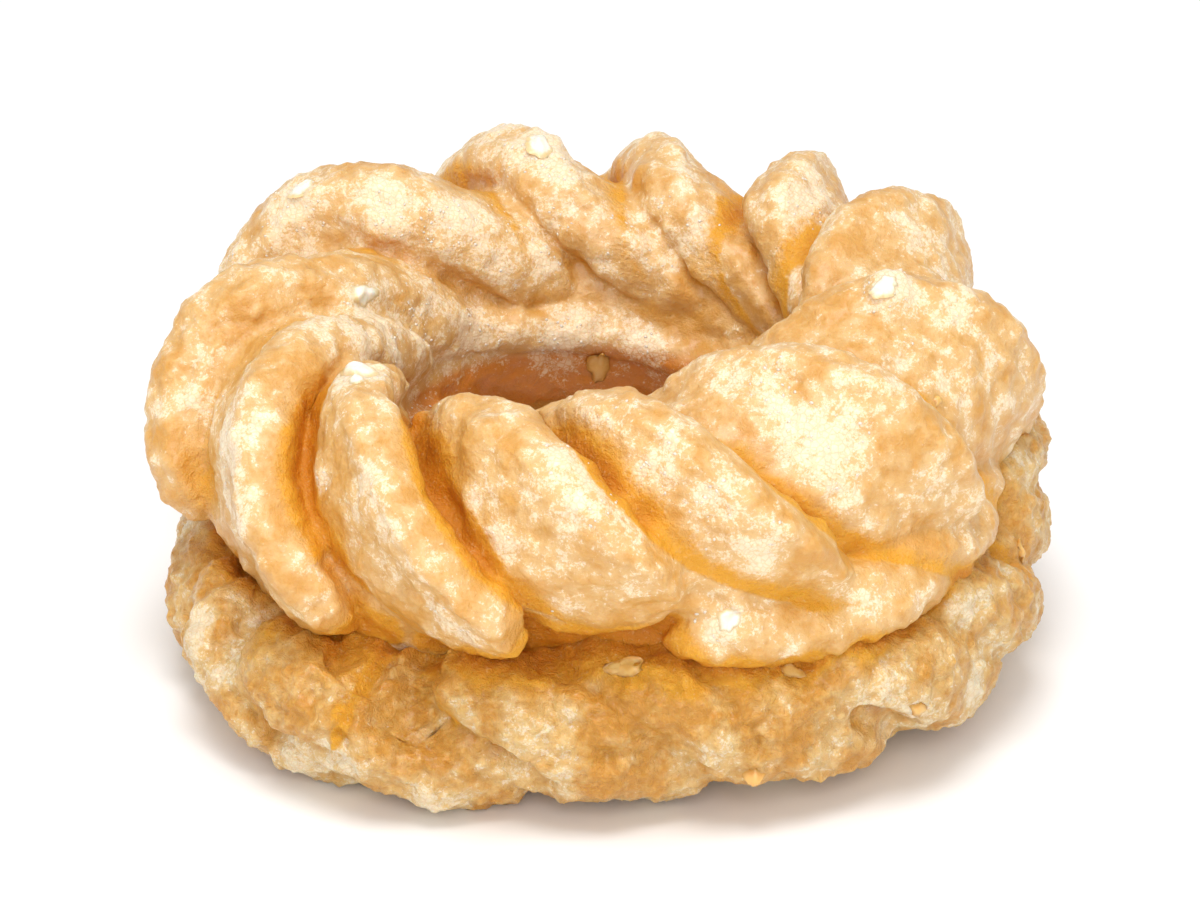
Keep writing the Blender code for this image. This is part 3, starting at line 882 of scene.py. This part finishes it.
def srgb(red, green, blue):
    """A colour as its light, from the usual 0 to 255 steps."""
    parts = [part / 255 for part in (red, green, blue)]
    return tuple(p / 12.92 if p <= 0.04045 else ((p + 0.055) / 1.055) ** 2.4 for p in parts) + (1.0,)


SUGAR = srgb(251, 234, 204)
# the bare crust's gold, which also paints the valleys' warm glow; then a deep orange that paints shade in tight
# creases, a tan that paints shade in the hole, and a brown for scorched crust and the hole's deepest shade
GOLDEN = srgb(228, 162, 40)
DEEP_GOLD_SHADE = srgb(208, 129, 10)
HOLE_SHADE_TAN = srgb(210, 128, 40)
BROWN_AND_SHADE = srgb(170, 98, 26)
CRACKED = 0.55 * MM  # how wide the plates are that dried glaze cracks into


def crust(name, thin, glazed, dried, frosting, crinkle):
    """Golden crust under a thin sugar glaze, which has dried to white specks and lace where it lies thick.

    thin, glazed and dried are its colours under more and more glaze, frosting is how much of it there is, and
    crinkle how deep the fine folds are.
    """
    finish = Finish(name)
    place = finish.node("ShaderNodeTexCoord", {}, {}, "Object")
    shelter, depth, lee = finish.noted("shelter"), finish.noted("depth"), finish.noted("lee")
    cloud = finish.noise(place, 4.5, 3.0)
    blot = finish.noise(place, 1.7, 5.0, 0.62, 0.2)
    lace = finish.noise(place, 0.9, 6.0, 0.78, 0.5)
    grain = finish.noise(place, 0.7, 3.0, 0.6)
    speck = finish.noise(place, 0.26, 3.0, 0.7)
    sockets = {"Vector": place, "Scale": 1 / CRACKED, "Randomness": 1.0}
    crack = finish.node("ShaderNodeTexVoronoi", {"feature": "DISTANCE_TO_EDGE"}, sockets).between(0.02, 0.16)
    # where the glaze lies thick, as a pale veil and as white sugar; less of it in sheltered hollows, which paints
    # shade there
    frost = (cloud - 0.5) * 2.2 + finish.noted("frost") * 0.7 + (blot - 0.5) * 1.7 - shelter * 0.8 + frosting
    veil = frost.between(-0.25, 0.55)
    white = ((lace - 0.5) * 3.3 + (speck - 0.5) * 1.8 + frost * 1.25).between(0.38, 0.82) * (crack * 0.45 + 0.55)
    colour = finish.mixed(thin, glazed, (cloud * 0.5 + grain * 0.5).between(0.4, 0.6))
    colour = finish.mixed(colour, dried, veil * 0.85)
    colour = finish.mixed(colour, SUGAR, white * 0.82)
    # where the crust is bare: golden, tan in the hole, browned in its pits, deepest between the ridges. Much of this
    # is painted shade: warm glow in the valleys, shade in the hole and its deepest pits, deep orange in the tight
    # creases
    bare_and_shaded = (shelter * 0.8 + lee * 0.5 + (blot - 0.5) * 0.4 + (grain - 0.5) * 0.25).between(0.26, 0.52)
    colour = finish.mixed(colour, GOLDEN, bare_and_shaded)
    # painted shade: the hole's wall turns a darker tan
    wall = (finish.noted("hole_wall") + (blot - 0.5) * 0.6).between(0.3, 0.8)
    colour = finish.mixed(colour, HOLE_SHADE_TAN, wall * (0.95 - white * 0.6))
    # brown: scorched crust where listed, and painted shade where the far occlusion is high, deep in the hole
    browned_and_shaded = (depth * 0.5 + finish.noted("scorch") * 0.55 + (blot - 0.5) * 0.3).between(0.5, 0.85)
    colour = finish.mixed(colour, BROWN_AND_SHADE, browned_and_shaded)
    # painted shade: deep orange where the near occlusion is highest, in the tight creases
    deep = (shelter + lee * 0.2 + (blot - 0.5) * 0.3 - wall * 0.3).between(0.32, 0.66)
    colour = finish.mixed(colour, DEEP_GOLD_SHADE, deep)
    # painted glints: fine pale specks on the bare crust stand in for its sparkling highlights
    painted_glint = (speck * 0.6 + grain * 0.4).between(0.54, 0.66) * (bare_and_shaded * 0.7 + 0.15)
    colour = finish.mixed(colour, dried, painted_glint * 0.45)
    # the skin's fine pits, grains and folds
    ripple = finish.noise(place, 1.2, 5.0, 0.62, 1.4) - 0.5
    crinkled = ripple.maths("ABSOLUTE", ripple)
    height = blot * 0.4 + (grain + speck * 0.6) * (bare_and_shaded * 0.4 + 0.45) - crinkled * crinkle
    rough = 0.4 + bare_and_shaded * 0.12 + white * 0.14
    clear = 0.3, (1.0, 0.65, 0.3), 0.0018
    return finish.done(colour, rough, (0.9, 0.4 * MM, height), clear, (0.34 - bare_and_shaded * 0.32, 0.22))


TOP_COLOURS = srgb(212, 154, 70), srgb(220, 170, 96), srgb(230, 192, 134)
BASE_COLOURS = srgb(210, 146, 48), srgb(222, 170, 84), srgb(236, 202, 140)
GLAZED_TOP = crust("glazed_top", *TOP_COLOURS, frosting=0.14, crinkle=0.5)
FRIED_BASE = crust("fried_base", *BASE_COLOURS, frosting=0.08, crinkle=2.4)
for piece, finish in ((top, GLAZED_TOP), (base, FRIED_BASE)):
    piece.data.materials.clear()
    piece.data.materials.append(finish)
    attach(piece, "root")
    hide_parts("cruller")

# ------------ thick glaze
# Glaze that ran together before it set lies in blobs on the ridges' crests and tips. It is dried sugar, nearly
# white and a little see-through, a third to three quarters of a millimetre thick.

crust_bm = bmesh.new()
crust_bm.from_mesh(top.data)
crust_bm.from_mesh(base.data)
skin = BVHTree.FromBMesh(crust_bm)
crust_bm.free()
# where a bit lies, which way it points (0 down the dough's side, 90 onwards round the ring), its half length,
# half width and thickness, how ragged it is, how far its end stands off and how far it hangs over an edge, in mm
Bit = namedtuple("Bit", "turn tilt points long wide thick ragged lift hang")
GLAZE_BLOBS = table(Bit, (
    (226, 85, 100, 2, 1.4, 0.8, 0.2, 0, 0.4), (229, 80, 60, 1, 0.7, 0.4, 0.2, 0, 0.4),
    (101, 94, 40, 1.8, 1.4, 0.6, 0.2, 0, 0.3), (337, 88, 80, 1.4, 1.1, 0.5, 0.3, 0, 0.4),
    (176, 112, 80, 2, 1, 0.45, 0.2, 0, 0.4), (288, 13, 130, 1.3, 0.9, 0.35, 0.3, 0, 0.4),
    (146, 74, 40, 1.6, 1, 0.35, 0.2, 0, 0.3),
))


RAY_FROM = 27  # how far from the rope's middle is surely outside the dough, in mm
ABOVE = 4 * MM  # from how high over the dough a bit looks for the skin
UNDERSIDE = 0.3  # how deep its underside bulges, in mm
SUNK_IN = 0.06 * MM  # how deep a bit that doesn't stand off sits in the skin


def on_skin(turn, tilt):
    """The crust's outermost place at that turn and tilt, and the way out there."""
    turn, tilt = math.radians(turn), math.radians(tilt)
    across = Vector((math.cos(turn), math.sin(turn), 0))
    middle = across * ROPE.radius + Vector((ROPE.aside, 0, ROPE.middle)) + Vector(shift)
    way = across * math.cos(tilt) + Vector((0, 0, math.sin(tilt)))
    place, normal, _, _ = skin.ray_cast(middle + way * RAY_FROM * MM, -way)
    return place, (normal + way).normalized(), across


def laid_on(bm, row, seed, roundness=3):
    """A bit of glaze or crust that follows the skin it lies on."""
    place, way, across = on_skin(row.turn, row.tilt)
    down = across * 0.6 - Vector((0, 0, 1))
    down = (down - way * down.dot(way)).normalized()
    aim = Matrix.Rotation(math.radians(row.points), 3, way)
    along, side = aim @ down, aim @ way.cross(down)
    edging = bm.verts.layers.float.get("edging") or bm.verts.layers.float.new("edging")
    for vert in bmesh.ops.create_icosphere(bm, subdivisions=roundness, radius=1.0)["verts"]:
        x, y, z = vert.co
        reach = max(1e-6, math.hypot(x, y))
        vert[edging] = reach
        edge = 1 + row.ragged * noise.fractal(Vector((1.5 * x / reach, 1.5 * y / reach, seed * 3.1)), 1.0, 2.0, 3)
        flat = place + along * x * row.long * edge * MM + side * y * row.wide * edge * MM
        hit, _, _, distance = skin.ray_cast(flat + way * ABOVE, -way, ABOVE + row.hang * MM)
        height = ABOVE - distance if hit else -row.hang * MM
        uneven = 1 + 0.5 * noise.noise(Vector((x * 2, y * 2, seed)))
        height += (row.thick * uneven * z * abs(z) if z > 0 else UNDERSIDE * z) * MM + row.lift * (x + 1) / 2 * MM
        vert.co = flat + way * (height - SUNK_IN * (row.lift == 0))


def made(name, bm, material):
    """A finished piece from its faces: it rides on the ring."""
    bmesh.ops.recalc_face_normals(bm, faces=bm.faces)
    for face in bm.faces:
        face.smooth = True
    piece = piece_of(name, bm)
    piece.data.materials.append(material)
    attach(piece, "root")


def dried_sugar(name, thin, thick, clear, gloss):
    """Dried sugar or crumb: cloudy between two colours, thinner towards its edge, finely pitted."""
    finish = Finish(name)
    place = finish.node("ShaderNodeTexCoord", {}, {}, "Object")
    cloud = finish.noise(place, 1.6, 5.0, 0.6)
    grain = finish.noise(place, 0.35, 3.0, 0.6)
    middle = 1 - finish.noted("edging").between(0.45, 1.0)
    colour = finish.mixed(thin, thick, (cloud * 0.7 + grain * 0.3 + middle * 0.5).between(0.5, 0.95))
    height = cloud * 0.5 + grain * 0.4
    rough = 0.34 + (grain - 0.5) * gloss
    return finish.done(colour, rough, (0.6, 0.25 * MM, height), (clear, (1.0, 0.6, 0.35), 0.0015), (0.3, 0.15))


glaze = bmesh.new()
for seed, row in enumerate(GLAZE_BLOBS, 1):
    laid_on(glaze, row, seed, 4)
THICK_GLAZE = dried_sugar("thick_glaze", srgb(238, 200, 146), srgb(252, 240, 220), clear=0.5, gloss=0.3)
made("glaze_blobs", glaze, THICK_GLAZE)

# ------------ flakes and crumbs of crust
# Where the skin tore in the fat, thin pale flakes of crust stand off the dough, and a few crumbs stuck in the
# glaze. They are fried dough, 0.15 to 0.8 mm thick, laid on the skin like the blobs of glaze.

FLAKES = table(Bit, (
    (297, -20, 75, 1, 0.5, 0.15, 0.4, 0.1, 0.6), (275, -22, 95, 1.9, 0.6, 0.15, 0.45, 0.1, 0.6),
    (331, 62, 100, 0.7, 0.5, 0.3, 0.4, 0, 0.6), (88, 172, 180, 1.8, 1.2, 0.5, 0.5, 0.2, 0.8),
    (291, -47, 40, 1, 0.9, 0.8, 0.6, 0, 0.8), (312, -30, 30, 1, 0.7, 0.25, 0.6, 0.1, 0.6),
    (345, -18, 10, 1.1, 0.6, 0.25, 0.6, 0.1, 0.6), (206, -34, 20, 1.1, 0.7, 0.3, 0.6, 0.1, 0.6),
    (142, -34, 20, 1, 0.7, 0.2, 0.6, 0, 0.4), (82, -32, 40, 1, 0.8, 0.2, 0.6, 0, 0.4),
    (22, -30, 30, 1, 0.7, 0.2, 0.6, 0, 0.4),
))
flakes = bmesh.new()
for seed, row in enumerate(FLAKES, 60):
    laid_on(flakes, row, seed)
PALE_CRUST = dried_sugar("pale_crust", srgb(214, 150, 66), srgb(230, 178, 100), clear=0.4, gloss=0.2)
made("crust_flakes", flakes, PALE_CRUST)

# ------------ grains of sugar
# The drying glaze crystallised into tiny grains that stand on the skin, most on the crests and least between
# the ridges. They are sugar, 0.2 to 0.5 mm long, each a squashed ball turned by chance.

GRAINS, SMALLEST, LARGEST = 700, 0.07, 0.17  # how many, and the radius in mm
LEAST_FROST, MOST_SHELTER = 0.55, 0.25  # they stand where it is frosted and open
SQUASHED = Matrix.Diagonal((1.4, 1, 0.5, 1))
chance = random.Random(31)
grains = bmesh.new()
points, ways = points_of(top)
iced = np.empty((2, len(points)), np.float32)
for column, name in zip(iced, ("frost", "shelter")):
    top.data.attributes[name].data.foreach_get("value", column)
iced_places = np.flatnonzero((iced[0] > LEAST_FROST) & (iced[1] < MOST_SHELTER)).tolist()
for index in chance.sample(iced_places, GRAINS):
    radius = chance.uniform(SMALLEST, LARGEST) * MM
    spin = Vector(ways[index]).to_track_quat("Z", "Y") @ Quaternion((0, 0, 1), chance.uniform(0, math.tau))
    at = Matrix.Translation(points[index]) @ spin.to_matrix().to_4x4() @ SQUASHED
    bmesh.ops.create_icosphere(grains, subdivisions=1, radius=radius, matrix=at)
WHITE_GRAINS = dried_sugar("white_grains", srgb(240, 214, 174), srgb(250, 234, 210), clear=0.3, gloss=0.3)
made("sugar_grains", grains, WHITE_GRAINS)

# ------------ floor, light and camera
# A white table that runs on without an edge, a large soft window of light above, a weaker one low in front,
# and an even pale room.

FLOOR_RADIUS = 6.0  # its edge is out of sight
floor_mesh = bmesh.new()
bmesh.ops.create_circle(floor_mesh, cap_ends=True, segments=96, radius=FLOOR_RADIUS)
floor = piece_of("floor", floor_mesh)
white = Finish("white_table")
matt = white.node("ShaderNodeBsdfPrincipled", {}, {"Base Color": (0.93, 0.93, 0.93, 1), "Roughness": 0.9})
white.node("ShaderNodeOutputMaterial", {}, {"Surface": matt})
floor.data.materials.append(white.material)

world = bpy.data.worlds.new("room")
world.use_nodes = True
room = world.node_tree.nodes["Background"]
room.inputs["Color"].default_value = (1, 1, 1, 1)
room.inputs["Strength"].default_value = 0.70
scene = bpy.context.scene
scene.world = world
scene.view_settings.view_transform = "Standard"

LOOKED_AT = Vector((shift[0], shift[1], 0.0199))
CAMERA_RISE, CAMERA_AWAY = 26, 0.450  # how steeply it looks down, in degrees, and from how far, in metres
LENS, LENS_SHIFT = 143.1, -0.00667


def window(name, place, size, power):
    """A soft square window of light, aimed at the doughnut."""
    light = bpy.data.lights.new(name, "AREA")
    light.size = size
    light.energy = power
    lamp = shown(name, light)
    lamp.location = place
    lamp.rotation_euler = (LOOKED_AT - Vector(place)).to_track_quat("-Z", "Y").to_euler()


window("key", place=(-0.02, -0.17, 0.60), size=0.26, power=2.05)
window("fill", place=(0.02, -0.55, 0.34), size=0.30, power=1.3)

camera_data = bpy.data.cameras.new("camera")
camera_data.sensor_width = 36.0
camera_data.lens = LENS
camera_data.shift_y = LENS_SHIFT
camera_data.clip_start = 0.01
camera = shown("camera", camera_data)
rise = math.radians(CAMERA_RISE)
back = Vector((0, -math.cos(rise), math.sin(rise)))
camera.location = LOOKED_AT + back * CAMERA_AWAY
camera.rotation_euler = (-back).to_track_quat("-Z", "Y").to_euler()
scene.camera = camera
